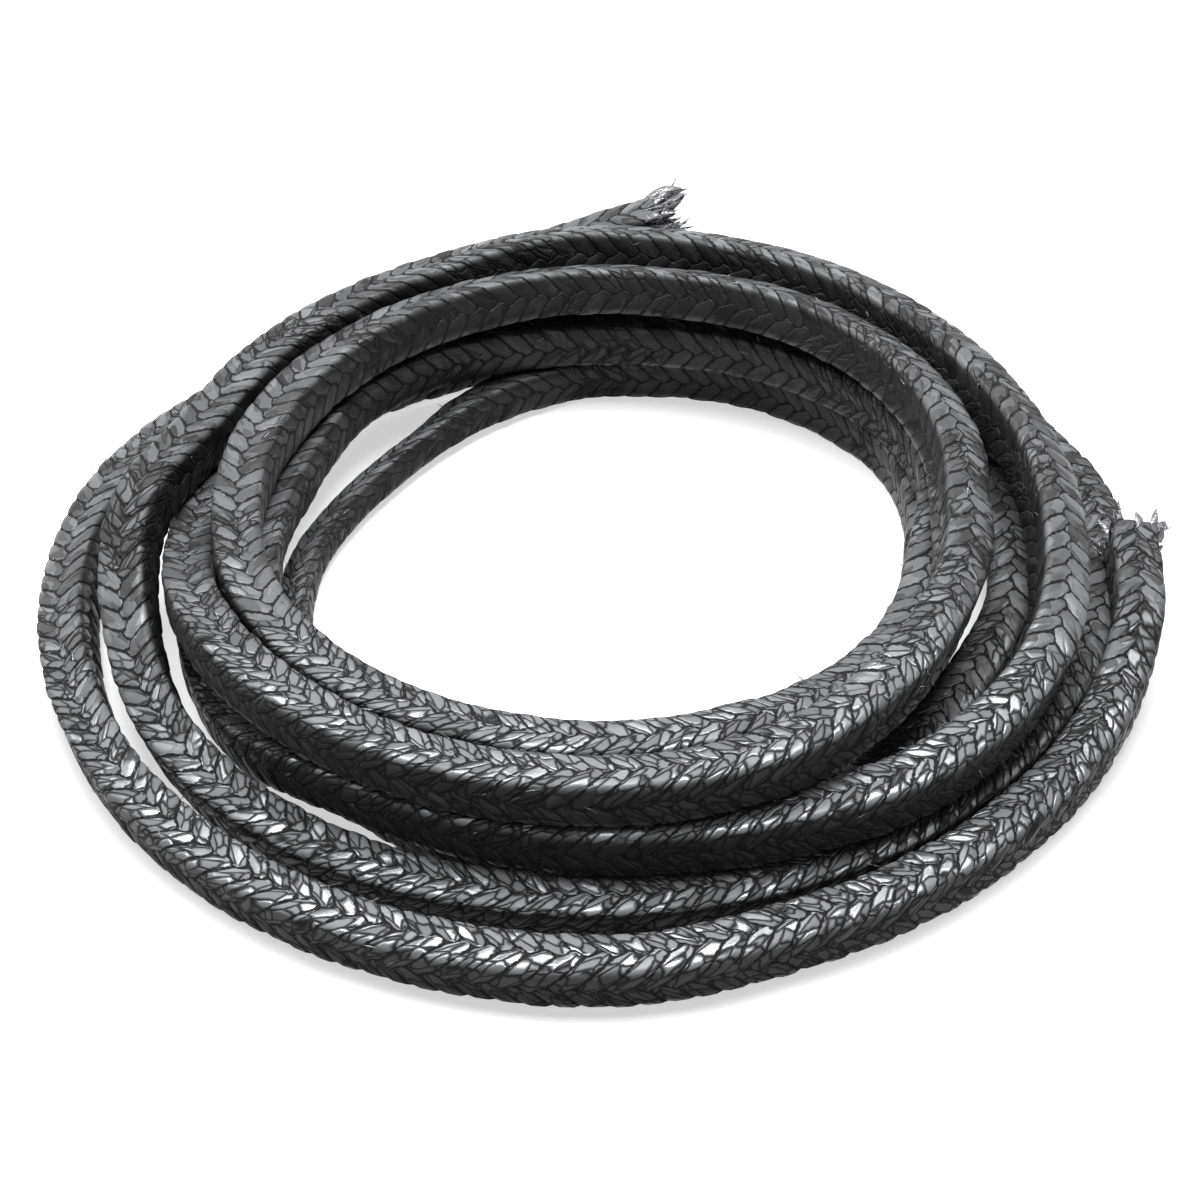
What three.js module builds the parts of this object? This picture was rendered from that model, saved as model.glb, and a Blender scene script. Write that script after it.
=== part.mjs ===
// Square braided gland packing of graphite yarn: one rope in a loose coil of nearly seven turns,
// whose turns cross over each other, with two free ends.
// The coil lies on the plane z = 0, and the origin is the middle of its footprint.
import * as THREE from 'three';
import { mergeVertices } from 'three/addons/utils/BufferGeometryUtils.js';

// Driving dimensions, in millimetres
const ROPE_WIDTH = 9.5;
const CORNER_CHAMFER = 1.2;
const TURN_GAP = 0.35;
const INNER_RADIUS = 65;

const STEPS_PER_TURN = 60;

// Two turns side by side lie one lane apart, and two turns on top of each other one layer apart.
const LANE = ROPE_WIDTH + TURN_GAP;
const LAYER = ROPE_WIDTH + TURN_GAP;

// The rope's route, as stations that it runs through from one end to the other:
// [turn, lane, layer, roll, squeeze]
// turn     turns travelled clockwise seen from above: 0 right, 0.25 front, 0.5 left, 0.75 back
// lane     lanes out from the inner radius, at the rope's middle
// layer    layers up from the rope that lies flat on the floor
// roll     degrees that the top tilts outwards, 0 if left out
// squeeze  share of the section's width and height that is left, 1 if left out
const ROUTE = [
  // The first end rests on the turn below it, then drops to the floor as the outermost turn.
  [-0.015, 4.38, 1.02, 8], [0, 4.27, 1, 5], [0.02, 4.27, 0.97, 5], [0.05, 4.09, 0.38, 5],
  [0.085, 3.86, 0.05, 5], [0.125, 3.76, 0.05, 5], [0.1875, 3.81, 0.07, 8],
  [0.25, 4.13, 0.07, 8], [0.3125, 4.06, 0.07, 8], [0.375, 4.04, 0.08, 9],
  [0.4375, 4.05, 0.12, 15], [0.47, 4.08, 0.13, 21], [0.5, 4.14, 0.14, 24], [0.5625, 4.33, 0.13, 18],
  [0.625, 4.22, 0.05, 5], [0.6875, 4.06, 0],
  // It stays outermost on the floor along the back and comes inside the first end on the right.
  [0.75, 4.26, 0], [0.8125, 4.45, 0], [0.875, 4.45, 0], [0.9375, 4.4, 0], [0.97, 4.16, 0],
  [1, 3.76, 0], [1.02, 3.35, 0], [1.0625, 2.94, 0], [1.125, 2.64, 0.05, 5],
  [1.1875, 2.52, 0.07, 8], [1.25, 2.54, 0.07, 8], [1.375, 2.64, 0.1, 12],
  // At the left it climbs over two turns and runs along the top of the back.
  [1.4375, 2.79, 0.45, 20], [1.5, 2.81, 1.5, 18], [1.52, 2.6, 2.03, 10], [1.5625, 2.21, 2.06, 5],
  [1.625, 2.61, 2.08, 8], [1.6875, 3.1, 2.12, 12], [1.75, 3.68, 2.21, 20],
  [1.8125, 3.57, 2.21, 18], [1.875, 3.2, 2.12, 15], [1.9375, 2.79, 2.04, 20],
  // It comes down on the right to the middle layer, and to the floor at the left.
  [2, 2.61, 1.88, 22], [2.0625, 2.74, 1.55, 15], [2.125, 2.54, 1.24, 5], [2.1875, 2.03, 1.13],
  [2.25, 1.73, 1.1], [2.3125, 1.55, 1.06], [2.345, 1.49, 1.02], [2.375, 1.45, 0.74],
  [2.4, 1.42, 0.38, 5], [2.4375, 1.4, 0.12, 8], [2.5, 1.46, 0], [2.5625, 2.08, 0],
  [2.625, 2.71, 0], [2.6875, 2.99, 0],
  // It rides over the floor turn at the back and drops inside it again on the right.
  [2.75, 3.25, 0.53], [2.8125, 3.35, 1], [2.875, 3.05, 0.94], [2.9375, 2.4, 0.5],
  [2.97, 2.08, 0.45], [3, 1.84, 0.35], [3.02, 1.63, 0.24], [3.04, 1.37, 0.12],
  [3.0625, 1.15, 0.02], [3.09, 1.06, 0], [3.125, 1.05, 0], [3.1875, 1.07, 0], [3.25, 1.1, 0],
  [3.3125, 0.87, 0], [3.345, 0.59, 0],
  // The innermost turn leans and is squeezed flat where it bends tightly at the left.
  [3.375, 0.41, 0], [3.5, -0.41, -0.07, 20, 0.65], [3.5625, -0.29, -0.12, 25, 0.6],
  [3.59, -0.21, -0.12, 25, 0.6], [3.625, 0.03, -0.12, 25, 0.6], [3.66, 0.48, -0.11, 25, 0.62],
  [3.6875, 1, -0.045, 18, 0.74], [3.72, 1.66, -0.01, 10, 0.86], [3.75, 2.18, -0.01, 0, 0.95],
  [3.8125, 2.47, 0], [3.875, 2.08, 0], [3.9375, 0.96, 0], [3.965, 0.42, 0],
  [4, 0.06, 0], [4.0625, -0.03, 0], [4.125, 0, 0], [4.1875, 0, 0],
  // It rises at the front and goes round once in the middle layer.
  [4.25, -0.02, 0.43], [4.3, 0.05, 1.02], [4.375, 0.16, 1.02], [4.4375, 0.22, 1.02],
  [4.5, 0.31, 1.02], [4.5625, 0.5, 1.02, 5], [4.6, 0.89, 1.02, 5], [4.625, 1.32, 1.01, 5],
  [4.65, 1.65, 1], [4.6875, 1.93, 1],
  [4.75, 2.03, 1], [4.8125, 2.18, 1], [4.875, 1.98, 1], [4.9375, 1.17, 1], [4.97, 0.52, 1],
  [5, 0.13, 1], [5.03, -0.03, 1], [5.0625, -0.1, 1.05], [5.09, -0.11, 1.2], [5.125, 0, 1.45],
  [5.15, 0.15, 1.68],
  // It rises again on the right and goes round once on top, leaning outwards along the back.
  [5.175, 0.35, 1.9], [5.19, 0.44, 2.03], [5.25, 0.48, 2.05], [5.3125, 0.43, 2.06],
  [5.375, 0.44, 2.06], [5.4375, 0.5, 2.06],
  [5.5, 0.63, 2.06], [5.5625, 0.91, 2.1, 5], [5.625, 1.37, 2.12, 12], [5.6875, 1.83, 2.16, 20],
  [5.75, 2.13, 2.16, 25], [5.8125, 2.16, 2.16, 22], [5.875, 1.83, 2.16, 20],
  [5.9375, 1.25, 2.14, 18], [6, 0.71, 2.15, 20], [6.0625, 0.71, 2.12, 12], [6.125, 1.02, 2.16, 5],
  [6.1875, 1.47, 2.16], [6.22, 1.52, 2.12], [6.25, 1.52, 2.09], [6.3125, 1.5, 2.07],
  [6.375, 1.5, 2.06], [6.4375, 1.57, 1.9],
  // The last end dives under the climbing turn at the left and rises behind the back.
  [6.47, 1.61, 1.6], [6.5, 1.63, 1.17], [6.52, 1.69, 1.01], [6.5625, 2.18, 1.01],
  [6.625, 3.15, 1.02], [6.6875, 4.01, 1.03], [6.72, 4.36, 1.22], [6.745, 4.7, 1.68],
  [6.77, 4.86, 2.24],
];

const ROUTE_START = ROUTE[0][0];
const ROUTE_TURNS = ROUTE[ROUTE.length - 1][0] - ROUTE_START;

const graphite = new THREE.MeshStandardMaterial({ color: 0x55575a, roughness: 0.5, metalness: 0.4 });

// A smooth curve through one value of every station. It never swings past a station's value, so
// a rope that lies flat at two stations in a row is flat between them too.
function curveThroughStations(column, valueIfLeftOut) {
  const turns = ROUTE.map((station) => station[0]);
  const values = ROUTE.map((station) => station[column] ?? valueIfLeftOut);
  const last = turns.length - 1;
  const span = (i) => turns[i + 1] - turns[i];
  const rise = (i) => (values[i + 1] - values[i]) / span(i);

  const slopes = values.map((value, i) => {
    if (i === 0) return rise(0);
    if (i === last) return rise(last - 1);
    if (rise(i - 1) * rise(i) <= 0) return 0;
    const weightBefore = 2 * span(i) + span(i - 1);
    const weightAfter = span(i) + 2 * span(i - 1);
    return (weightBefore + weightAfter) / (weightBefore / rise(i - 1) + weightAfter / rise(i));
  });

  return (turn) => {
    const next = turns.findIndex((stationTurn) => stationTurn > turn);
    const i = next < 0 ? last - 1 : Math.max(next - 1, 0);
    const s = (turn - turns[i]) / span(i);
    const leave = (1 + 2 * s) * (1 - s) ** 2 * values[i] + s * (1 - s) ** 2 * span(i) * slopes[i];
    const reach = s ** 2 * (3 - 2 * s) * values[i + 1] - s ** 2 * (1 - s) * span(i) * slopes[i + 1];
    return leave + reach;
  };
}

const laneAt = curveThroughStations(1);
const layerAt = curveThroughStations(2);
const rollAt = curveThroughStations(3, 0);
const squeezeAt = curveThroughStations(4, 1);

// The middle of the rope after so many turns.
function ropeMiddle(turn) {
  const radius = INNER_RADIUS + laneAt(turn) * LANE;
  const angle = -2 * Math.PI * turn;
  const height = ROPE_WIDTH / 2 + layerAt(turn) * LAYER;
  return new THREE.Vector3(radius * Math.cos(angle), radius * Math.sin(angle), height);
}

// Two directions across the rope, after its roll: one outwards from the coil and one to its top.
function ropeDirections(turn) {
  const halfStep = 0.5 / STEPS_PER_TURN;
  const travel = ropeMiddle(turn + halfStep).sub(ropeMiddle(turn - halfStep)).normalize();
  const outwards = new THREE.Vector3(0, 0, 1).cross(travel).normalize();
  const top = travel.clone().cross(outwards);
  const roll = -THREE.MathUtils.degToRad(rollAt(turn));
  return {
    outwards: outwards.applyAxisAngle(travel, roll),
    top: top.applyAxisAngle(travel, roll),
  };
}

// The rope's section: a square with its four corners cut off.
function ropeSection() {
  const side = ROPE_WIDTH / 2;
  const flat = side - CORNER_CHAMFER;
  return new THREE.Shape([
    new THREE.Vector2(side, -flat), new THREE.Vector2(side, flat),
    new THREE.Vector2(flat, side), new THREE.Vector2(-flat, side),
    new THREE.Vector2(-side, flat), new THREE.Vector2(-side, -flat),
    new THREE.Vector2(-flat, -side), new THREE.Vector2(flat, -side),
  ]);
}

// A straight bar with one unit of length for each turn, wound along the route.
function woundRope() {
  const steps = Math.round(ROUTE_TURNS * STEPS_PER_TURN);
  const bar = new THREE.ExtrudeGeometry(ropeSection(), {
    depth: ROUTE_TURNS,
    steps,
    bevelEnabled: false,
  });
  bar.deleteAttribute('normal');
  bar.deleteAttribute('uv');
  const rope = mergeVertices(bar);
  const corners = rope.getAttribute('position');
  for (let i = 0; i < corners.count; i += 1) {
    const turn = ROUTE_START + corners.getZ(i);
    const { outwards, top } = ropeDirections(turn);
    const corner = ropeMiddle(turn)
      .addScaledVector(outwards, corners.getX(i) * squeezeAt(turn))
      .addScaledVector(top, corners.getY(i) * squeezeAt(turn));
    corners.setXYZ(i, corner.x, corner.y, corner.z);
  }
  rope.computeVertexNormals();
  return rope;
}

const packingRope = new THREE.Mesh(woundRope(), graphite);
packingRope.name = 'packing_rope';

// The footprint's middle comes to the origin, and the lowest side to the floor.
packingRope.geometry.computeBoundingBox();
const box = packingRope.geometry.boundingBox;
const footprintMiddle = box.getCenter(new THREE.Vector3());
packingRope.position.set(-footprintMiddle.x, -footprintMiddle.y, -box.min.z);

const coil = new THREE.Group();
coil.add(packingRope);

export default coil;
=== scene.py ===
# %% [markdown]
# This lesson dresses one loose coil of square braided gland packing: a rope of graphite yarn that
# is cut into rings and pressed around a pump or valve shaft to seal it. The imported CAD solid
# gives the rope's route, width and place. What it lacks is the braid, the sheen of the graphite
# and the frayed ends, and those are made here, as a mesh and a set of shader nodes.

import math

import bpy
import numpy as np
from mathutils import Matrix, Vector


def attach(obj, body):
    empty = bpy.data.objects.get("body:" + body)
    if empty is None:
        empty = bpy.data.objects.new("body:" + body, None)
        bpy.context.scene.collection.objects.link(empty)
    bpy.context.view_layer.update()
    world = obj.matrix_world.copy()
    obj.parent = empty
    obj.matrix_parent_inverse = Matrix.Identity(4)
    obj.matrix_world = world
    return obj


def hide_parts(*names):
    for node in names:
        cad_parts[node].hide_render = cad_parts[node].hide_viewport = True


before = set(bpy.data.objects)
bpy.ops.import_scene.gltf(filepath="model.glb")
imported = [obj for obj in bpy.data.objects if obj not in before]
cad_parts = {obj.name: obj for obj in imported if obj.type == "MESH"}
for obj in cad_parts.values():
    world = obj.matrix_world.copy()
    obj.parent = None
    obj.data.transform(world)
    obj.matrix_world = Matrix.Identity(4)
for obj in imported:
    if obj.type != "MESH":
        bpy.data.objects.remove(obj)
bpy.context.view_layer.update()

# %% [markdown]
# The camera stands where the photographer stood: in front of the coil, looking down at 38
# degrees, close enough for the front of the rope to look clearly larger than the back. It looks
# at the coil's own axis, and the coil lies a little low in the picture, which a small shift of
# the lens gives without tilting the camera.

# %% Camera values
MM = 0.001
CAMERA_ELEVATION = math.radians(38)
CAMERA_DISTANCE = 0.700
LENS_MM = 103.95
LENS_SHIFT = (0.0025, 0.0233)

# %% [markdown]
# The rope's route is a list of given stations, the same ones that the solid follows.
# A Bezier curve through them would be quicker to draw, but it would swing past the stations where
# two turns rest on each other. A monotone cubic through each column never does, so turns that
# touch keep touching and never cut into each other.

# %% Stations of the route
ROPE_WIDTH = 9.5 * MM
TURN_GAP = 0.35 * MM
INNER_RADIUS = 65 * MM
LANE = ROPE_WIDTH + TURN_GAP
LAYER = ROPE_WIDTH + TURN_GAP

# turn, lane, layer, roll in degrees, squeeze. Turns run clockwise from the right, seen from above.
ROUTE = [
    # The first end rests on the turn below it, then drops to the floor as the outermost turn.
    (-0.015, 4.38, 1.02, 8), (0, 4.27, 1, 5), (0.02, 4.27, 0.97, 5), (0.05, 4.09, 0.38, 5),
    (0.085, 3.86, 0.05, 5), (0.125, 3.76, 0.05, 5), (0.1875, 3.81, 0.07, 8),
    (0.25, 4.13, 0.07, 8), (0.3125, 4.06, 0.07, 8), (0.375, 4.04, 0.08, 9),
    (0.4375, 4.05, 0.12, 15), (0.47, 4.08, 0.13, 21), (0.5, 4.14, 0.14, 24),
    (0.5625, 4.33, 0.13, 18), (0.625, 4.22, 0.05, 5), (0.6875, 4.06, 0),
    # It stays outermost on the floor along the back and comes inside the first end on the right.
    (0.75, 4.26, 0), (0.8125, 4.45, 0), (0.875, 4.45, 0), (0.9375, 4.4, 0), (0.97, 4.16, 0),
    (1, 3.76, 0), (1.02, 3.35, 0), (1.0625, 2.94, 0), (1.125, 2.64, 0.05, 5),
    (1.1875, 2.52, 0.07, 8), (1.25, 2.54, 0.07, 8), (1.375, 2.64, 0.1, 12),
    # At the left it climbs over two turns and runs along the top of the back.
    (1.4375, 2.79, 0.45, 20), (1.5, 2.81, 1.5, 18), (1.52, 2.6, 2.03, 10), (1.5625, 2.21, 2.06, 5),
    (1.625, 2.61, 2.08, 8), (1.6875, 3.1, 2.12, 12), (1.75, 3.68, 2.21, 20),
    (1.8125, 3.57, 2.21, 18), (1.875, 3.2, 2.12, 15), (1.9375, 2.79, 2.04, 20),
    # It comes down on the right to the middle layer, and to the floor at the left.
    (2, 2.61, 1.88, 22), (2.0625, 2.74, 1.55, 15), (2.125, 2.54, 1.24, 5), (2.1875, 2.03, 1.13),
    (2.25, 1.73, 1.1), (2.3125, 1.55, 1.06), (2.345, 1.49, 1.02), (2.375, 1.45, 0.74),
    (2.4, 1.42, 0.38, 5), (2.4375, 1.4, 0.12, 8), (2.5, 1.46, 0), (2.5625, 2.08, 0),
    (2.625, 2.71, 0), (2.6875, 2.99, 0),
    # It rides over the floor turn at the back and drops inside it again on the right.
    (2.75, 3.25, 0.53), (2.8125, 3.35, 1), (2.875, 3.05, 0.94), (2.9375, 2.4, 0.5),
    (2.97, 2.08, 0.45), (3, 1.84, 0.35), (3.02, 1.63, 0.24), (3.04, 1.37, 0.12),
    (3.0625, 1.15, 0.02), (3.09, 1.06, 0), (3.125, 1.05, 0), (3.1875, 1.07, 0), (3.25, 1.1, 0),
    (3.3125, 0.87, 0), (3.345, 0.59, 0),
    # The innermost turn leans and is squeezed flat where it bends tightly at the left.
    (3.375, 0.41, 0), (3.5, -0.41, -0.07, 20, 0.65), (3.5625, -0.29, -0.12, 25, 0.6),
    (3.59, -0.21, -0.12, 25, 0.6), (3.625, 0.03, -0.12, 25, 0.6), (3.66, 0.48, -0.11, 25, 0.62),
    (3.6875, 1, -0.045, 18, 0.74), (3.72, 1.66, -0.01, 10, 0.86), (3.75, 2.18, -0.01, 0, 0.95),
    (3.8125, 2.47, 0), (3.875, 2.08, 0), (3.9375, 0.96, 0), (3.965, 0.42, 0),
    (4, 0.06, 0), (4.0625, -0.03, 0), (4.125, 0, 0), (4.1875, 0, 0),
    # It rises at the front and goes round once in the middle layer.
    (4.25, -0.02, 0.43), (4.3, 0.05, 1.02), (4.375, 0.16, 1.02), (4.4375, 0.22, 1.02),
    (4.5, 0.31, 1.02), (4.5625, 0.5, 1.02, 5), (4.6, 0.89, 1.02, 5), (4.625, 1.32, 1.01, 5),
    (4.65, 1.65, 1), (4.6875, 1.93, 1),
    (4.75, 2.03, 1), (4.8125, 2.18, 1), (4.875, 1.98, 1), (4.9375, 1.17, 1), (4.97, 0.52, 1),
    (5, 0.13, 1), (5.03, -0.03, 1), (5.0625, -0.1, 1.05), (5.09, -0.11, 1.2), (5.125, 0, 1.45),
    (5.15, 0.15, 1.68),
    # It rises again on the right and goes round once on top, leaning outwards along the back.
    (5.175, 0.35, 1.9), (5.19, 0.44, 2.03), (5.25, 0.48, 2.05), (5.3125, 0.43, 2.06),
    (5.375, 0.44, 2.06), (5.4375, 0.5, 2.06),
    (5.5, 0.63, 2.06), (5.5625, 0.91, 2.1, 5), (5.625, 1.37, 2.12, 12), (5.6875, 1.83, 2.16, 20),
    (5.75, 2.13, 2.16, 25), (5.8125, 2.16, 2.16, 22), (5.875, 1.83, 2.16, 20),
    (5.9375, 1.25, 2.14, 18), (6, 0.71, 2.15, 20), (6.0625, 0.71, 2.12, 12), (6.125, 1.02, 2.16, 5),
    (6.1875, 1.47, 2.16), (6.22, 1.52, 2.12), (6.25, 1.52, 2.09), (6.3125, 1.5, 2.07),
    (6.375, 1.5, 2.06), (6.4375, 1.57, 1.9),
    # The last end dives under the climbing turn at the left and rises behind the back.
    (6.47, 1.61, 1.6), (6.5, 1.63, 1.17), (6.52, 1.69, 1.01), (6.5625, 2.18, 1.01),
    (6.625, 3.15, 1.02), (6.6875, 4.01, 1.03), (6.72, 4.36, 1.22), (6.745, 4.7, 1.68),
    (6.77, 4.86, 2.24),
]
print("Stations:", len(ROUTE))

# %% A smooth curve through one column of the stations
LANE_COLUMN, LAYER_COLUMN, ROLL_COLUMN, SQUEEZE_COLUMN = 1, 2, 3, 4
VALUES_IF_LEFT_OUT = (None, None, None, 0, 1)
station_turns = np.array([station[0] for station in ROUTE])


def station_column(column):
    default = VALUES_IF_LEFT_OUT[column]
    return np.array([s[column] if len(s) > column else default for s in ROUTE], float)


def curve_slopes(values):
    span = np.diff(station_turns)
    rise = np.diff(values) / span
    slopes = np.concatenate([rise[:1], np.zeros(len(rise) - 1), rise[-1:]])
    for i in range(1, len(rise)):
        if rise[i - 1] * rise[i] > 0:
            before = 2 * span[i] + span[i - 1]
            after = span[i] + 2 * span[i - 1]
            slopes[i] = (before + after) / (before / rise[i - 1] + after / rise[i])
    return slopes


def along_stations(column, turn):
    values = station_column(column)
    slopes = curve_slopes(values)
    i = np.clip(np.searchsorted(station_turns, turn, side="right") - 1, 0, len(values) - 2)
    span = station_turns[i + 1] - station_turns[i]
    s = (turn - station_turns[i]) / span
    leave = (1 + 2 * s) * (1 - s) ** 2 * values[i] + s * (1 - s) ** 2 * span * slopes[i]
    reach = s ** 2 * (3 - 2 * s) * values[i + 1] - s ** 2 * (1 - s) * span * slopes[i + 1]
    return leave + reach


# %% [markdown]
# At each place along the route the rope needs its middle and two directions across it: one
# outwards from the coil and one to its top. Blender's own curve bevel would find them from the
# curve's tilt, but this rope leans by a set angle at each station, so they are worked out here,
# for all places at once, with arrays.

# %% Middle and directions at any turn
TANGENT_STEP_TURNS = 0.002


def unit(vectors):
    return vectors / np.linalg.norm(vectors, axis=-1, keepdims=True)


def rope_middle(turn):
    radius = INNER_RADIUS + along_stations(LANE_COLUMN, turn) * LANE
    angle = -2 * math.pi * turn
    height = ROPE_WIDTH / 2 + along_stations(LAYER_COLUMN, turn) * LAYER
    return np.stack([radius * np.cos(angle), radius * np.sin(angle), height], -1)


def rope_directions(turn):
    travel = unit(rope_middle(turn + TANGENT_STEP_TURNS) - rope_middle(turn - TANGENT_STEP_TURNS))
    outwards = unit(np.cross([0, 0, 1], travel))
    top = np.cross(travel, outwards)
    roll = np.radians(along_stations(ROLL_COLUMN, turn))[..., None]
    leaning_out = outwards * np.cos(roll) - top * np.sin(roll)
    leaning_top = outwards * np.sin(roll) + top * np.cos(roll)
    return travel, leaning_out, leaning_top


# %% Length of the rope, and the turn at any distance along it
FINE_STEPS = 20000
fine_turns = np.linspace(station_turns[0], station_turns[-1], FINE_STEPS + 1)
fine_middles = rope_middle(fine_turns)
fine_steps = np.linalg.norm(np.diff(fine_middles, axis=0), axis=1)
fine_distances = np.concatenate([[0], np.cumsum(fine_steps)])
ROPE_LENGTH = float(fine_distances[-1])
print("Rope length in metres:", round(ROPE_LENGTH, 3))


def turn_at(distance):
    return np.interp(distance, fine_distances, fine_turns)


# %% The footprint's middle comes to the origin
# The solid was moved so that the middle of its box lies over the origin. The plain square rope
# gives the same box, so it gives the same move.
PLAIN_CORNER = 1.2 * MM
side = ROPE_WIDTH / 2
flat = side - PLAIN_CORNER
plain_section = [(side, flat), (flat, side), (-flat, side), (-side, flat),
                 (-side, -flat), (-flat, -side), (flat, -side), (side, -flat)]
_, fine_out, fine_top = rope_directions(fine_turns)
fine_squeeze = along_stations(SQUEEZE_COLUMN, fine_turns)[:, None]
plain_lines = [fine_middles + (fine_out * x + fine_top * y) * fine_squeeze
               for x, y in plain_section]
plain_points = np.concatenate(plain_lines)
footprint_middle = (plain_points.min(axis=0) + plain_points.max(axis=0)) / 2
COIL_AXIS = np.array([-footprint_middle[0], -footprint_middle[1], 0.0])
print("Coil axis on the floor:", np.round(COIL_AXIS, 5).tolist())

# %% [markdown]
# The braid has four rows of yarn, one over each long edge of the square. A row starts at the
# middle of one face, wraps over the edge and ends at the middle of the next face. Neighbouring
# rows slant opposite ways and are half a pitch apart, so their tips mesh like a zip and draw a
# row of arrow heads along each face. All of that is one formula of two coordinates: "around",
# which counts faces from the middle of the top, and "along", which counts yarn pitches.

# %% Values of the braid
YARN_PITCH = 4.9 * MM
YARN_SLANT = math.radians(50)
SECTION_CORNER = 0.9 * MM
ROW_WIDTH = ROPE_WIDTH - (2 - math.pi / 2) * SECTION_CORNER
ROW_SLIDE = ROW_WIDTH / math.tan(YARN_SLANT) / YARN_PITCH
YARN_WIDTH = YARN_PITCH * math.sin(YARN_SLANT)
# How far the tips of a row reach past the middle of a face, as a share of the face
ZIP_DEPTH = 0.07
print("Yarn width in mm:", round(YARN_WIDTH / MM, 2), "slide in pitches:", round(ROW_SLIDE, 2))


# %% Distance of any point to the nearest edge of its yarn
def ping_pong(value):
    return 1 - np.abs(1 - np.mod(value, 2))


def braid(around, along):
    lined_up = along - ROW_SLIDE * ping_pong(around)
    zipped = around - ZIP_DEPTH * np.cos(np.pi * around) * np.cos(2 * np.pi * lined_up)
    row = np.floor(zipped)
    place = lined_up + 0.5 * np.mod(row, 2)
    yarn = np.floor(place)
    to_side = np.minimum(place - yarn, 1 - place + yarn) * YARN_WIDTH
    to_tip = np.minimum(zipped - row, 1 - zipped + row) * ROW_WIDTH
    return np.minimum(to_side, to_tip), row, yarn


# %% One even value from 0 to 1 for each yarn, always the same for the same yarn
# The sine of a big angle, made thousands of times larger, keeps only its last digits, and those
# look random.
ANGLE_OF_YARN = 12.9898
ANGLE_OF_ROW = 78.233
ENLARGEMENT = 43758.5453


def scatter(row, yarn):
    angle = yarn * ANGLE_OF_YARN + np.mod(row, 4) * ANGLE_OF_ROW
    return np.mod(np.sin(angle) * ENLARGEMENT, 1)


# %% [markdown]
# The rope could be a plain tube with all its relief in a bump map, but then its outline stays
# dead straight and the yarns cast no shadows. So each crossing of a yarn is a low pillow in the
# mesh itself. The rings of the mesh are not cut square across the rope: they zigzag with the
# yarns, so that edges of the mesh run along the grooves and a coarse mesh still draws them.

# %% Outline of the section, and how deep the grooves are
STEPS_PER_ROW = 8
STEPS_AROUND = 4 * STEPS_PER_ROW
RINGS_PER_PITCH = 4
GROOVE_DEPTH = 0.42 * MM
PILLOW_REACH = 0.9 * MM
CROWN_HEIGHT = 0.15 * MM
YARN_UNEVENNESS = 0.3 * MM
END_FADE = 20 * MM


def section_point(around):
    # A point on a square with round corners, and the direction that its surface faces
    face = np.floor(around + 0.5)
    past_middle = (around - face) * ROW_WIDTH
    flat_half = ROPE_WIDTH / 2 - SECTION_CORNER
    beyond = np.maximum(np.abs(past_middle) - flat_half, 0)
    angle = beyond / SECTION_CORNER
    across = np.minimum(np.abs(past_middle), flat_half) + SECTION_CORNER * np.sin(angle)
    up = flat_half + SECTION_CORNER * np.cos(angle)
    sign = np.sign(past_middle)
    turn = -face * math.pi / 2
    points = np.stack([across * sign, up], -1)
    facing = np.stack([np.sin(angle) * sign, np.cos(angle)], -1)
    cos, sin = np.cos(turn)[..., None], np.sin(turn)[..., None]
    swap = np.array([[0, 1], [-1, 0]])
    return points * cos + points @ swap * sin, facing * cos + facing @ swap * sin


# %% The braided surface at any point around and along the rope
# Its relief would push the lowest yarns a little into the floor, so it stops at the floor.
def braided_surface(around, distance):
    turn = turn_at(distance)
    _, outwards, top = rope_directions(turn)
    point, facing = section_point(around)
    edge, row, yarn = braid(around, distance / YARN_PITCH)
    pillow = 1 - (1 - np.minimum(edge / PILLOW_REACH, 1)) ** 2
    crown = CROWN_HEIGHT + (scatter(row, yarn) - 0.5) * YARN_UNEVENNESS
    relief = crown + (pillow - 1) * GROOVE_DEPTH
    squeeze = along_stations(SQUEEZE_COLUMN, turn)[..., None]
    point = (point + facing * relief[..., None]) * squeeze
    surface = rope_middle(turn) + outwards * point[..., :1] + top * point[..., 1:] + COIL_AXIS
    surface[..., 2] = np.maximum(surface[..., 2], 0)
    return surface


# %% Zigzag grid of the rope
pitches = int(round(ROPE_LENGTH / YARN_PITCH))
ring_count = pitches * RINGS_PER_PITCH + 1
around_grid, distance_grid = np.meshgrid(
    np.arange(STEPS_AROUND) / STEPS_PER_ROW, np.linspace(0, ROPE_LENGTH, ring_count))
from_end = np.minimum(distance_grid, ROPE_LENGTH - distance_grid)
fade = np.clip(from_end / END_FADE, 0, 1)
distance_grid = distance_grid + fade * ROW_SLIDE * YARN_PITCH * (ping_pong(around_grid) - 0.5)
rope_points = braided_surface(around_grid, distance_grid)
print("Rings:", ring_count, "points:", rope_points.size // 3)


# %% Faces between the rings, and a mesh object that never dips below the floor
def tube_faces(rings, around_count):
    ring, step = np.meshgrid(np.arange(rings - 1), np.arange(around_count), indexing="ij")
    after = (step + 1) % around_count
    here = ring * around_count
    there = here + around_count
    return np.stack([here + step, there + step, there + after, here + after], -1).reshape(-1, 4)


def mesh_object(name, points, faces):
    above_floor = [(x, y, max(z, 0)) for x, y, z in points]
    corners = [tuple(int(i) for i in face) for face in faces]
    mesh = bpy.data.meshes.new(name)
    mesh.from_pydata(above_floor, [], corners)
    mesh.shade_smooth()
    mesh.update()
    piece = bpy.data.objects.new(name, mesh)
    bpy.context.scene.collection.objects.link(piece)
    return piece


# %% The two cut ends
# A cut across a braid isn't flat: the yarns spring back unevenly, so the cap is a dish with a
# ring of its own between the rim and the middle.
CAP_SHARE = 0.6
CAP_DEPTH = 0.8 * MM


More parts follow.
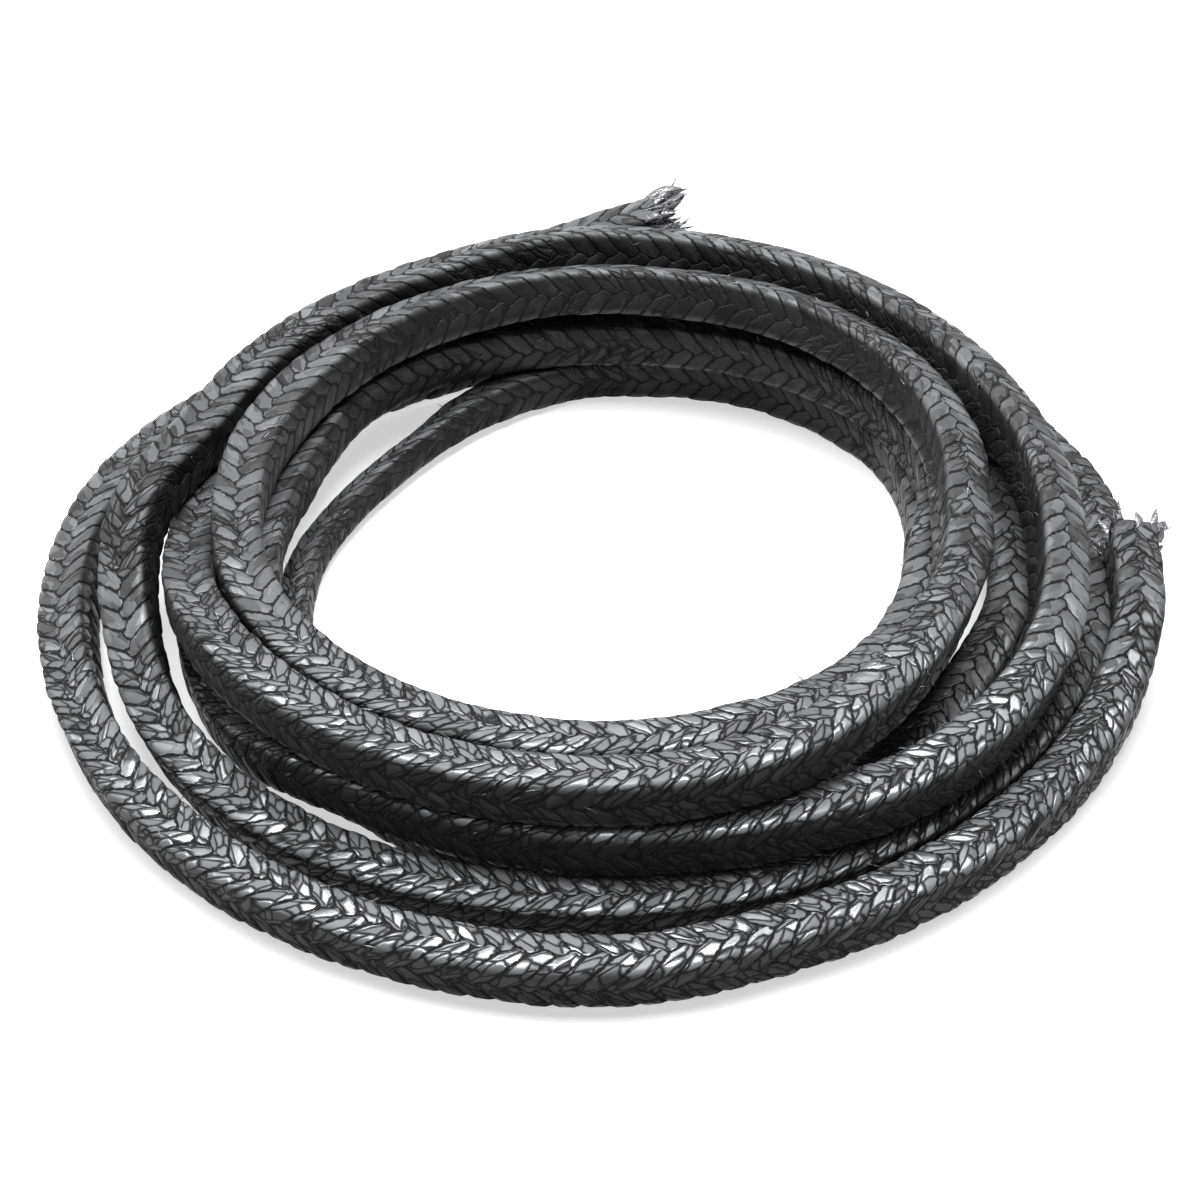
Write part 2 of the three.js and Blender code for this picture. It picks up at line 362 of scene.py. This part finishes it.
def cap(points, faces, rim, inwards, first_end):
    middle = rope_points.reshape(-1, 3)[rim].mean(axis=0)
    start = len(points)
    for index in rim:
        points.append(middle + (points[index] - middle) * CAP_SHARE + inwards * CAP_DEPTH)
    points.append(middle + inwards * CAP_DEPTH / 2)
    count = len(rim)
    for i in range(count):
        j = (i + 1) % count
        quad = [rim[i], rim[j], start + j, start + i]
        corner = [start + i, start + j, start + count]
        faces.append(quad if first_end else quad[::-1])
        faces.append(corner if first_end else corner[::-1])


points = list(rope_points.reshape(-1, 3))
faces = tube_faces(ring_count, STEPS_AROUND).tolist()
tube_face_count = len(faces)
end_travel = rope_directions(np.array([station_turns[0], station_turns[-1]]))[0]
first_rim = list(range(STEPS_AROUND))
last_rim = [len(points) - STEPS_AROUND + i for i in range(STEPS_AROUND)]
cap(points, faces, first_rim, end_travel[0], True)
cap(points, faces, last_rim, -end_travel[1], False)
rope = mesh_object("braided_rope", points, faces)

# %% [markdown]
# The shader needs the same two coordinates as the mesh, so they go into a UV map: "around" is
# its first value and "along" its second. A UV map belongs to the corners of faces, so the last
# column can end at 4 while the first starts at 0, and no seam shows where they meet.

# %% UV map of the braid
braid_map = rope.data.uv_layers.new(name="braid")
around_corners = np.array([0, 0, 1, 1])
step_of_face = np.tile(np.arange(STEPS_AROUND), ring_count - 1)
u = (step_of_face[:, None] + around_corners) / STEPS_PER_ROW
loop_vertices = np.array(faces[:tube_face_count])
v = distance_grid.reshape(-1)[loop_vertices] / YARN_PITCH
uv = np.zeros((len(rope.data.loops), 2))
uv[:tube_face_count * 4] = np.stack([u, v], -1).reshape(-1, 2)
braid_map.data.foreach_set("uv", uv.reshape(-1))
print("Triangles of the rope:", sum(len(f) - 2 for f in faces))

PATH_STEP = 4 * MM
path_distances = np.linspace(0, ROPE_LENGTH, int(ROPE_LENGTH / PATH_STEP))
rope_path = rope_middle(turn_at(path_distances)) + COIL_AXIS
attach(rope, "root")
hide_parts("packing_rope")
print("Points of the path:", len(rope_path))

# %% [markdown]
# A cut rope of this kind never ends cleanly. At each end some yarns unravel into flat tapes that
# curl and taper to a point, and single fibres stand off the braid all along it. Hair particles
# could draw them, but they aren't mesh and can't be kept as one, so each tape is a thin closed
# ribbon that bends as it grows.

# %% One curling ribbon
# It keeps its width for most of its length and narrows to a thin tip.
RIBBON_STEPS = 9
TAPER_POWER = 2.5
TIP_SHARE = 0.06


def ribbon(points, faces, root, forward, across, length, width, thickness, bend, twist):
    start = len(points)
    position, forward, across = Vector(root), Vector(forward), Vector(across)
    step = length / RIBBON_STEPS
    for i in range(RIBBON_STEPS + 1):
        share = i / RIBBON_STEPS
        up = forward.cross(across).normalized()
        taper = max(1 - share ** TAPER_POWER, TIP_SHARE)
        half_width = across * (width / 2 * taper)
        half_thickness = up * (thickness / 2 * taper)
        for a, b in ((-1, -1), (1, -1), (1, 1), (-1, 1)):
            points.append(position + half_width * a + half_thickness * b)
        position = position + forward * step
        forward = (forward + up * (bend / RIBBON_STEPS)).normalized()
        across = (across + up * (twist / RIBBON_STEPS)).normalized()
        across = (across - forward * across.dot(forward)).normalized()
    for i in range(RIBBON_STEPS):
        low = start + 4 * i
        for a in range(4):
            b = (a + 1) % 4
            faces.append((low + a, low + b, low + 4 + b, low + 4 + a))
    faces.append((start + 3, start + 2, start + 1, start))
    last = start + 4 * RIBBON_STEPS
    faces.append((last, last + 1, last + 2, last + 3))


# %% Values of a frayed end
# Two tapes in three grow from the rim of the cut, which is where a braid opens first. Pairs are
# the least and the most of a random value, and a share is of the rope's width or of the reach.
RIM_SHARE = 0.42
SPREAD = (0.3, 1.5)
STRAYING = 0.12
ROOT_DEPTH_MM = (1, 3)
TAPE_LENGTH_SHARE = (0.45, 1)
TAPE_WIDTH_MM = (1.2, 3)
TAPE_THICKNESS = 0.22 * MM
FIBRE_LENGTH_SHARE = (0.5, 1.15)
FIBRE_WIDTH = 0.16 * MM
FIBRE_THICKNESS = 0.12 * MM
USUAL_BEND = 1.1
USUAL_TWIST = 1.2


# %% A frayed end
def frayed_end(name, turn, way_out, seed, tapes, fibres, reach):
    random = np.random.default_rng(seed)
    travel, outwards, top = (d[0] for d in rope_directions(np.array([turn])))
    middle = rope_middle(np.array([turn]))[0] + COIL_AXIS
    out_of_rope = travel * way_out
    points, faces = [], []
    for i in range(tapes + fibres):
        is_tape = i < tapes
        x, y = random.uniform(-RIM_SHARE, RIM_SHARE, 2) * ROPE_WIDTH
        if is_tape and i % 3:
            x, y = np.array([x, y]) / max(abs(x), abs(y)) * RIM_SHARE * ROPE_WIDTH
        spread = (outwards * x + top * y) / ROPE_WIDTH * random.uniform(*SPREAD)
        forward = unit(out_of_rope + spread + random.normal(0, STRAYING, 3))
        inside = out_of_rope * random.uniform(*ROOT_DEPTH_MM) * MM
        root = middle + outwards * x + top * y - inside
        across = unit(np.cross(forward, random.normal(0, 1, 3)))
        if is_tape:
            length = random.uniform(*TAPE_LENGTH_SHARE) * reach
            width = random.uniform(*TAPE_WIDTH_MM) * MM
            thickness = TAPE_THICKNESS
        else:
            length = random.uniform(*FIBRE_LENGTH_SHARE) * reach
            width = FIBRE_WIDTH
            thickness = FIBRE_THICKNESS
        bend = random.normal(0, USUAL_BEND)
        twist = random.normal(0, USUAL_TWIST)
        ribbon(points, faces, root, forward, across, length, width, thickness, bend, twist)
    return mesh_object(name, points, faces)


# %% Both ends
# The end at the back is opened further, and more of its fibres are loose.
end_1 = frayed_end("frayed_end_right", station_turns[0], way_out=-1, seed=4,
                   tapes=30, fibres=26, reach=8 * MM)
end_2 = frayed_end("frayed_end_back", station_turns[-1], way_out=1, seed=9,
                   tapes=30, fibres=50, reach=11 * MM)
print("Points of the two frayed ends:", len(end_1.data.vertices), len(end_2.data.vertices))

# %% Values of the loose fibres
# They grow from the upper half of the section only, because a fibre below it would meet the
# floor or the next turn.
LOOSE_COUNT = 420
LOOSE_SEED = 21
ALONG_SHARE = (0.02, 0.98)
UPPER_HALF = (-1, 1)
LOOSE_RISE = (0.15, 0.8)
LOOSE_STRAYING = 0.3
LOOSE_ROOT_DEPTH_MM = 0.2
LOOSE_LENGTH_MM = (1.2, 3.6)
LOOSE_WIDTH_MM = (0.10, 0.28)
LOOSE_THICKNESS = 0.08 * MM
LOOSE_BEND = 0.8
LOOSE_TWIST = 1

# %% Loose fibres along the braid
random = np.random.default_rng(LOOSE_SEED)
points, faces = [], []
for i in range(LOOSE_COUNT):
    distance = random.uniform(*ALONG_SHARE) * ROPE_LENGTH
    around = random.uniform(*UPPER_HALF) % 4
    turn = turn_at(np.array([distance]))
    middle = rope_middle(turn)[0] + COIL_AXIS
    travel = rope_directions(turn)[0][0]
    root = braided_surface(np.array([around]), np.array([distance]))[0]
    facing = unit(root - middle)
    rise = facing * random.uniform(*LOOSE_RISE)
    run = travel * random.choice([-1, 1])
    forward = unit(rise + run + random.normal(0, LOOSE_STRAYING, 3))
    across = unit(np.cross(forward, facing))
    length = random.uniform(*LOOSE_LENGTH_MM) * MM
    width = random.uniform(*LOOSE_WIDTH_MM) * MM
    bend = random.normal(0, LOOSE_BEND)
    twist = random.normal(0, LOOSE_TWIST)
    ribbon(points, faces, root - facing * LOOSE_ROOT_DEPTH_MM * MM, forward, across,
           length, width, LOOSE_THICKNESS, bend, twist)
fibres = mesh_object("loose_fibres", points, faces)
print("Loose fibres:", LOOSE_COUNT)

for piece in (end_1, end_2, fibres):
    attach(piece, "root")


# %% [markdown]
# The finish is built from small shader node groups. A few helpers keep the node code readable:
# one places a node with its values, and one wraps a formula of Math nodes.

# %% Helpers for nodes
def connect(tree, value, socket):
    if isinstance(value, bpy.types.NodeSocket):
        tree.links.new(value, socket)
    else:
        socket.default_value = value


def add_node(tree, kind, settings=None, **inputs):
    node = tree.nodes.new(kind)
    for key, value in (settings or {}).items():
        setattr(node, key, value)
    for key, value in inputs.items():
        connect(tree, value, node.inputs[key.replace("_", " ")])
    return node


def calc(tree, operation, *values):
    node = tree.nodes.new("ShaderNodeMath")
    node.operation = operation
    for value, socket in zip(values, node.inputs):
        connect(tree, value, socket)
    return node.outputs[0]


def smooth_mask(tree, value, low, high):
    node = add_node(tree, "ShaderNodeMapRange", {"interpolation_type": "SMOOTHSTEP"},
                    Value=value, From_Min=low, From_Max=high)
    return node.outputs["Result"]


def new_group(name, inputs, outputs):
    tree = bpy.data.node_groups.new(name, "ShaderNodeTree")
    for label, kind, default in inputs:
        socket = tree.interface.new_socket(label, in_out="INPUT", socket_type=kind)
        if default is not None:
            socket.default_value = default
    for label, kind in outputs:
        tree.interface.new_socket(label, in_out="OUTPUT", socket_type=kind)
    return tree, tree.nodes.new("NodeGroupInput").outputs, tree.nodes.new("NodeGroupOutput").inputs


# %% [markdown]
# The first group repeats the mesh's braid formula for the shader, so grooves in the colour fall
# exactly on grooves in the mesh. It puts out the distance to the yarn's edge, a place along and
# across the yarn for the cracks to follow, and one random value for each yarn.

# %% Node group of the braided yarns
VALUE = "NodeSocketFloat"
VECTOR = "NodeSocketVector"
# Two edges of a yarn that are closer than this run into each other with a round corner
CORNER_BLEND_MM = 0.4
# Each yarn reads the skin from another layer, so no two yarns show the same cracks
SKIN_LAYERS = 97.0

yarns, given, result = new_group(
    "braided_yarns",
    [("Braid", VECTOR, None), ("Slide", VALUE, ROW_SLIDE), ("Zip", VALUE, ZIP_DEPTH)],
    [("Edge", VALUE), ("Yarn Place", VECTOR), ("Random", VALUE)])
split = add_node(yarns, "ShaderNodeSeparateXYZ", Vector=given["Braid"])
around, along = split.outputs["X"], split.outputs["Y"]
slide = calc(yarns, "MULTIPLY", calc(yarns, "PINGPONG", around, 1.0), given["Slide"])
lined_up = calc(yarns, "SUBTRACT", along, slide)
wave = calc(yarns, "MULTIPLY", calc(yarns, "COSINE", calc(yarns, "MULTIPLY", around, math.pi)),
            calc(yarns, "COSINE", calc(yarns, "MULTIPLY", lined_up, 2 * math.pi)))
zipped = calc(yarns, "SUBTRACT", around, calc(yarns, "MULTIPLY", wave, given["Zip"]))
row = calc(yarns, "FLOOR", zipped)
half = calc(yarns, "MULTIPLY", calc(yarns, "FLOORED_MODULO", row, 2.0), 0.5)
place = calc(yarns, "ADD", lined_up, half)
yarn = calc(yarns, "FLOOR", place)


def to_nearest_edge(tree, value, width):
    share = calc(tree, "FRACT", value)
    return calc(tree, "MULTIPLY", calc(tree, "MINIMUM", share,
                                       calc(tree, "SUBTRACT", 1.0, share)), width)


side_distance = to_nearest_edge(yarns, place, YARN_WIDTH / MM)
tip_distance = to_nearest_edge(yarns, zipped, ROW_WIDTH / MM)
yarns.links.new(calc(yarns, "SMOOTH_MIN", side_distance, tip_distance, CORNER_BLEND_MM),
                result["Edge"])
identity = add_node(yarns, "ShaderNodeCombineXYZ", X=row, Y=yarn)
noise = add_node(yarns, "ShaderNodeTexWhiteNoise", {"noise_dimensions": "2D"},
                 Vector=identity.outputs["Vector"])
yarns.links.new(noise.outputs["Value"], result["Random"])
along_yarn = calc(yarns, "MULTIPLY", calc(yarns, "FRACT", zipped),
                  ROW_WIDTH / MM / math.sin(YARN_SLANT))
across_yarn = calc(yarns, "MULTIPLY", calc(yarns, "FRACT", place), YARN_WIDTH / MM)
yarn_place = add_node(yarns, "ShaderNodeCombineXYZ", X=along_yarn, Y=across_yarn,
                      Z=calc(yarns, "MULTIPLY", noise.outputs["Value"], SKIN_LAYERS))
yarns.links.new(yarn_place.outputs["Vector"], result["Yarn Place"])
print("Node group braided_yarns:", len(yarns.nodes), "nodes")

# %% [markdown]
# Graphite yarn is pressed from flakes. Its skin breaks into scales with fine black cracks
# between them, and the scales lie at slightly different angles, which is what makes the rope
# glitter. The second group draws that skin for any place on a yarn, and both the rope and its
# frayed tapes use it, each at its own scale.

# %% Node group of the cracked graphite skin
# The scales are longer along the yarn than across it, and a noise bends their outlines.
SCALE_STRETCH = (0.26, 0.42, 1.0)
WOBBLE_SCALE = 1.6
WOBBLE_SHARE = 0.22
RIM_STEEPNESS = 6.0
SCALE_TILT = 2.2
SCALE_LIFT = 0.7

skin, given, result = new_group(
    "graphite_skin",
    [("Place", VECTOR, None), ("Scale", VALUE, 1.0), ("Crack Width", VALUE, 0.1)],
    [("Crack", VALUE), ("Tone", VALUE), ("Height", VALUE)])
stretch = add_node(skin, "ShaderNodeVectorMath", {"operation": "MULTIPLY"})
skin.links.new(given["Place"], stretch.inputs[0])
stretch.inputs[1].default_value = SCALE_STRETCH
wobble = add_node(skin, "ShaderNodeTexNoise", Vector=stretch.outputs["Vector"],
                  Scale=WOBBLE_SCALE, Detail=2.0)
bent = add_node(skin, "ShaderNodeMix", {"data_type": "VECTOR"})
bent.inputs[0].default_value = WOBBLE_SHARE
skin.links.new(stretch.outputs["Vector"], bent.inputs[4])
skin.links.new(wobble.outputs["Color"], bent.inputs[5])
crack_cells = add_node(skin, "ShaderNodeTexVoronoi", {"feature": "DISTANCE_TO_EDGE"},
                       Vector=bent.outputs[1], Scale=given["Scale"])
scales = add_node(skin, "ShaderNodeTexVoronoi", {"feature": "F1"},
                  Vector=bent.outputs[1], Scale=given["Scale"])
crack = calc(skin, "SUBTRACT", 1.0,
             smooth_mask(skin, crack_cells.outputs["Distance"], 0.0, given["Crack Width"]))
skin.links.new(crack, result["Crack"])
scale_tone = add_node(skin, "ShaderNodeSeparateXYZ", Vector=scales.outputs["Color"]).outputs["X"]
skin.links.new(scale_tone, result["Tone"])
from_middle = add_node(skin, "ShaderNodeVectorMath", {"operation": "SUBTRACT"})
skin.links.new(bent.outputs[1], from_middle.inputs[0])
skin.links.new(scales.outputs["Position"], from_middle.inputs[1])
tilt = add_node(skin, "ShaderNodeVectorMath", {"operation": "SUBTRACT"})
skin.links.new(scales.outputs["Color"], tilt.inputs[0])
tilt.inputs[1].default_value = (0.5, 0.5, 0.5)
facet = add_node(skin, "ShaderNodeVectorMath", {"operation": "DOT_PRODUCT"})
skin.links.new(from_middle.outputs["Vector"], facet.inputs[0])
skin.links.new(tilt.outputs["Vector"], facet.inputs[1])
rim = calc(skin, "MULTIPLY", crack_cells.outputs["Distance"], RIM_STEEPNESS)
plateau = calc(skin, "MINIMUM", rim, 1.0)
tilted = calc(skin, "ADD", plateau, calc(skin, "MULTIPLY", facet.outputs["Value"], SCALE_TILT))
lifted = calc(skin, "ADD", tilted, calc(skin, "MULTIPLY", scale_tone, SCALE_LIFT))
skin.links.new(lifted, result["Height"])
print("Node group graphite_skin:", len(skin.nodes), "nodes")


# %% Place a group in a material
def use_group(tree, group, **inputs):
    node = tree.nodes.new("ShaderNodeGroup")
    node.node_tree = group
    for key, value in inputs.items():
        connect(tree, value, node.inputs[key.replace("_", " ")])
    return node


def new_material(name):
    material = bpy.data.materials.new(name)
    material.use_nodes = True
    tree = material.node_tree
    return material, tree, tree.nodes["Principled BSDF"]


# %% [markdown]
# The rope's material puts the groups together. Graphite is dark but it isn't matt: under a soft
# lamp its flat scales shine mid grey, and in shade they drop to black. So only the lightest
# scales at the front are partly metallic, and the rest is a dark surface with a weak sheen.
# Grooves and cracks are painted near black, a painted shade, and are rough. Side faces are
# painted darker, a painted shade, and the front is painted lighter, a painted highlight.

# %% Material of the braid
# The scales of the noises are counted per metre.
BRAID_SKIN_SCALE = 1.4
BRAID_CRACK_WIDTH = 0.16
PATCH_SCALE = 60.0
RAGGED_SCALE = 900.0
GRAIN_SCALE = 2600.0

braid_material, tree, shader = new_material("graphite_braid")
braid_place = add_node(tree, "ShaderNodeUVMap", {"uv_map": "braid"}).outputs["UV"]
weave = use_group(tree, yarns, Braid=braid_place)
scales_of_yarn = use_group(tree, skin, Place=weave.outputs["Yarn Place"],
                           Scale=BRAID_SKIN_SCALE, Crack_Width=BRAID_CRACK_WIDTH)
position = add_node(tree, "ShaderNodeTexCoord").outputs["Object"]
patches = add_node(tree, "ShaderNodeTexNoise", Vector=position, Scale=PATCH_SCALE, Detail=2.0)
ragged = add_node(tree, "ShaderNodeTexNoise", Vector=position, Scale=RAGGED_SCALE, Detail=2.0)
grain = add_node(tree, "ShaderNodeTexNoise", Vector=position, Scale=GRAIN_SCALE, Detail=3.0)
tone_of_scale = scales_of_yarn.outputs["Tone"]

# %% Where the skin is cracked, where the front has a painted highlight, and where a side face has painted shade
# The front of the coil has been bent and handled most, so its skin breaks into more scales there.
# It is also painted lighter there, as a painted highlight.
# A mask grows from 0 at the first value of its pair to 1 at the second.
FRONT_HIGHLIGHT_AND_WEAR_METRES = (0.0, 0.075)
SIDE_SHADE_RANGE = (-0.1, 0.5)
HANDLED_BREAKS_MORE = 0.2
BROKEN = (0.46, 0.6)

split = add_node(tree, "ShaderNodeSeparateXYZ", Vector=position)
to_front = calc(tree, "MULTIPLY", split.outputs["Y"], -1.0)
front_highlight_and_wear = smooth_mask(tree, to_front, *FRONT_HIGHLIGHT_AND_WEAR_METRES)
around = add_node(tree, "ShaderNodeSeparateXYZ", Vector=braid_place).outputs["X"]
facing_up = calc(tree, "COSINE", calc(tree, "MULTIPLY", around, math.pi))
side_face_shade = smooth_mask(tree, calc(tree, "MULTIPLY", facing_up, -1.0), *SIDE_SHADE_RANGE)
breakage = calc(tree, "ADD", patches.outputs["Fac"],
                calc(tree, "MULTIPLY", front_highlight_and_wear, HANDLED_BREAKS_MORE))
broken = smooth_mask(tree, breakage, *BROKEN)

# %% Grooves and cracks
RAGGEDNESS_MM = 0.9
GROOVE_RIM_MM = (0.18, 0.36)

unevenness = calc(tree, "SUBTRACT", ragged.outputs["Fac"], 0.5)
ragged_edge = calc(tree, "ADD", weave.outputs["Edge"],
                   calc(tree, "MULTIPLY", unevenness, RAGGEDNESS_MM))
groove = calc(tree, "SUBTRACT", 1.0, smooth_mask(tree, ragged_edge, *GROOVE_RIM_MM))
cracks = calc(tree, "MULTIPLY", scales_of_yarn.outputs["Crack"], broken)
# Painted shade: grooves and cracks are made near black
groove_and_crack_shade = calc(tree, "MAXIMUM", groove, cracks)

# %% Colour
# The tone is a sum of four parts, and a ramp turns it into a colour. One part is a painted
# highlight that makes the front lighter.
TONE_OF_YARN = 0.25
TONE_OF_SCALE = 0.35
TONE_OF_GRAIN = 0.2
TONE_OF_FRONT_HIGHLIGHT = 0.35
DARKEST_TONE = 0.18
DARKEST = (0.009, 0.009, 0.0095, 1)
LIGHTEST = (0.23, 0.232, 0.238, 1)
SIDE_PAINTED_SHADE = (0.2, 0.2, 0.2, 1)
GROOVE_SHADE_COLOUR = (0.003, 0.003, 0.0035, 1)

tone = calc(tree, "ADD", calc(tree, "MULTIPLY", weave.outputs["Random"], TONE_OF_YARN),
            calc(tree, "MULTIPLY", tone_of_scale, TONE_OF_SCALE))
tone = calc(tree, "ADD", tone, calc(tree, "MULTIPLY", grain.outputs["Fac"], TONE_OF_GRAIN))
# Painted highlight: the tone is raised towards the front of the coil
tone = calc(tree, "ADD", tone, calc(tree, "MULTIPLY", front_highlight_and_wear, TONE_OF_FRONT_HIGHLIGHT))
ramp = add_node(tree, "ShaderNodeValToRGB", Fac=tone)
ramp.color_ramp.elements[0].position = DARKEST_TONE
ramp.color_ramp.elements[0].color = DARKEST
ramp.color_ramp.elements[1].color = LIGHTEST
# Painted shade: the colour of the side faces is multiplied darker
side_shade = add_node(tree, "ShaderNodeMix", {"data_type": "RGBA", "blend_type": "MULTIPLY"})
connect(tree, side_face_shade, side_shade.inputs[0])
connect(tree, ramp.outputs["Color"], side_shade.inputs[6])
side_shade.inputs[7].default_value = SIDE_PAINTED_SHADE
# Painted shade: grooves and cracks take a near-black colour
colour = add_node(tree, "ShaderNodeMix", {"data_type": "RGBA"})
connect(tree, groove_and_crack_shade, colour.inputs[0])
connect(tree, side_shade.outputs[2], colour.inputs[6])
colour.inputs[7].default_value = GROOVE_SHADE_COLOUR
connect(tree, colour.outputs[2], shader.inputs["Base Color"])

# %% Sheen
GLINT_TONES = (0.4, 0.8)
MOST_METALLIC = 0.8
ROUGHNESS = 0.52
SMOOTHER_WHEN_LIGHT = 0.2
ROUGHER_WHEN_DARK = 0.35
WEAK_SHEEN = 0.2

glint = calc(tree, "MULTIPLY", smooth_mask(tree, tone_of_scale, *GLINT_TONES), front_highlight_and_wear)
bright = calc(tree, "SUBTRACT", 1.0, calc(tree, "MAXIMUM", groove_and_crack_shade, side_face_shade))
metallic = calc(tree, "MULTIPLY", calc(tree, "MULTIPLY", glint, bright), MOST_METALLIC)
connect(tree, metallic, shader.inputs["Metallic"])
smoothing = calc(tree, "MULTIPLY", tone_of_scale, SMOOTHER_WHEN_LIGHT)
roughness = calc(tree, "SUBTRACT", ROUGHNESS, smoothing)
roughness = calc(tree, "ADD", roughness, calc(tree, "MULTIPLY", groove_and_crack_shade, ROUGHER_WHEN_DARK))
connect(tree, roughness, shader.inputs["Roughness"])
shader.inputs["Specular IOR Level"].default_value = WEAK_SHEEN

# %% Relief finer than the mesh
YARN_EDGE_MM = (0.0, 0.45)
YARN_RELIEF_MM = 0.22
SCALE_RELIEF_MM = 0.16
GRAIN_RELIEF_MM = 0.04

yarn_height = smooth_mask(tree, ragged_edge, *YARN_EDGE_MM)
scale_height = calc(tree, "MULTIPLY", scales_of_yarn.outputs["Height"], broken)
height = calc(tree, "ADD", calc(tree, "MULTIPLY", yarn_height, YARN_RELIEF_MM),
              calc(tree, "MULTIPLY", scale_height, SCALE_RELIEF_MM))
height = calc(tree, "ADD", height, calc(tree, "MULTIPLY", grain.outputs["Fac"], GRAIN_RELIEF_MM))
bump = add_node(tree, "ShaderNodeBump", Strength=1.0, Distance=1.0 * MM, Height=height)
connect(tree, bump.outputs["Normal"], shader.inputs["Normal"])
rope.data.materials.append(braid_material)
print("Material graphite_braid:", len(tree.nodes), "nodes")

# %% Material of the frayed tapes and fibres
TAPE_SKIN_SCALE = 2.0
TAPE_CRACK_WIDTH = 0.08
TAPE_DARKEST = (0.10, 0.10, 0.105, 1)
TAPE_LIGHTEST = (0.34, 0.34, 0.35, 1)
TAPE_METALLIC = 0.6
TAPE_ROUGHNESS = 0.35
TAPE_RELIEF = 0.2 * MM

tape_material, tree, shader = new_material("graphite_tape")
position = add_node(tree, "ShaderNodeTexCoord").outputs["Object"]
in_millimetres = add_node(tree, "ShaderNodeVectorMath", {"operation": "SCALE"},
                          Vector=position, Scale=1 / MM)
tape_skin = use_group(tree, skin, Place=in_millimetres.outputs["Vector"],
                      Scale=TAPE_SKIN_SCALE, Crack_Width=TAPE_CRACK_WIDTH)
ramp = add_node(tree, "ShaderNodeValToRGB", Fac=tape_skin.outputs["Tone"])
ramp.color_ramp.elements[0].color = TAPE_DARKEST
ramp.color_ramp.elements[1].color = TAPE_LIGHTEST
connect(tree, ramp.outputs["Color"], shader.inputs["Base Color"])
shader.inputs["Metallic"].default_value = TAPE_METALLIC
shader.inputs["Roughness"].default_value = TAPE_ROUGHNESS
bump = add_node(tree, "ShaderNodeBump", Strength=0.6, Distance=TAPE_RELIEF,
                Height=tape_skin.outputs["Height"])
connect(tree, bump.outputs["Normal"], shader.inputs["Normal"])
for piece in (end_1, end_2, fibres):
    piece.data.materials.append(tape_material)
print("Material graphite_tape:", len(tree.nodes), "nodes")

# %% [markdown]
# A studio for a dark shiny thing is simple: a pale floor, one big soft lamp overhead and a
# little behind, which the tops of the turns mirror, and a weak strip at the back left for the
# sides there. Floor and room look white to the camera and in anything that mirrors them, but
# they give little soft light, so the coil's sides stay dark and the floor still takes its shadow.

# %% White where it is seen, dimmer where it only lights
FLOOR_GLOW = 0.6
ROOM_LIGHT = 0.02


def seen_directly(tree):
    path = add_node(tree, "ShaderNodeLightPath").outputs
    mirrored = calc(tree, "MAXIMUM", path["Is Glossy Ray"], path["Is Transmission Ray"])
    return calc(tree, "MAXIMUM", path["Is Camera Ray"], mirrored)


# %% Floor
FLOOR_SIZE = 8.0
FLOOR_GREY = (0.5, 0.5, 0.5, 1)
FLOOR_ROUGHNESS = 0.9
WHITE = (1, 1, 1, 1)

bpy.ops.mesh.primitive_plane_add(size=FLOOR_SIZE, location=(0, 0, 0))
floor = bpy.context.object
floor.name = "studio_floor"
floor_material, tree, shader = new_material("studio_white")
shader.inputs["Base Color"].default_value = FLOOR_GREY
shader.inputs["Roughness"].default_value = FLOOR_ROUGHNESS
shader.inputs["Emission Color"].default_value = WHITE
connect(tree, calc(tree, "MULTIPLY", seen_directly(tree), FLOOR_GLOW),
        shader.inputs["Emission Strength"])
floor.data.materials.append(floor_material)
print("Floor:", floor.name, FLOOR_SIZE, "metres")

# %% World
world = bpy.data.worlds.new("studio")
bpy.context.scene.world = world
world.use_nodes = True
tree = world.node_tree
background = tree.nodes["Background"]
background.inputs["Color"].default_value = WHITE
connect(tree, calc(tree, "MAXIMUM", seen_directly(tree), ROOM_LIGHT),
        background.inputs["Strength"])


# %% Lamps
# Places and sizes are in metres and powers in watts. Each lamp points at the origin.
def area_lamp(name, place, size, power):
    lamp = bpy.data.lights.new(name, "AREA")
    lamp.shape = "RECTANGLE"
    lamp.size, lamp.size_y = size
    lamp.energy = power
    holder = bpy.data.objects.new(name, lamp)
    holder.location = place
    holder.rotation_euler = (-Vector(place)).to_track_quat("-Z", "Y").to_euler()
    bpy.context.scene.collection.objects.link(holder)


area_lamp("overhead_softbox", place=(0.0, 0.3, 1.1), size=(1.0, 0.7), power=34)
area_lamp("left_strip", place=(-0.9, 0.5, 0.6), size=(0.5, 0.3), power=5)
print("Lamps:", len(bpy.data.lights))

# %% Camera
camera = bpy.data.objects.new("camera", bpy.data.cameras.new("camera"))
back = Vector((0, -math.cos(CAMERA_ELEVATION), math.sin(CAMERA_ELEVATION)))
camera.location = Vector(COIL_AXIS) + back * CAMERA_DISTANCE
camera.rotation_euler = back.to_track_quat("Z", "Y").to_euler()
camera.data.lens = LENS_MM
camera.data.shift_x, camera.data.shift_y = LENS_SHIFT
bpy.context.scene.collection.objects.link(camera)
bpy.context.scene.camera = camera
bpy.context.scene.view_settings.view_transform = "Standard"
print("Camera at:", [round(value, 3) for value in camera.location])
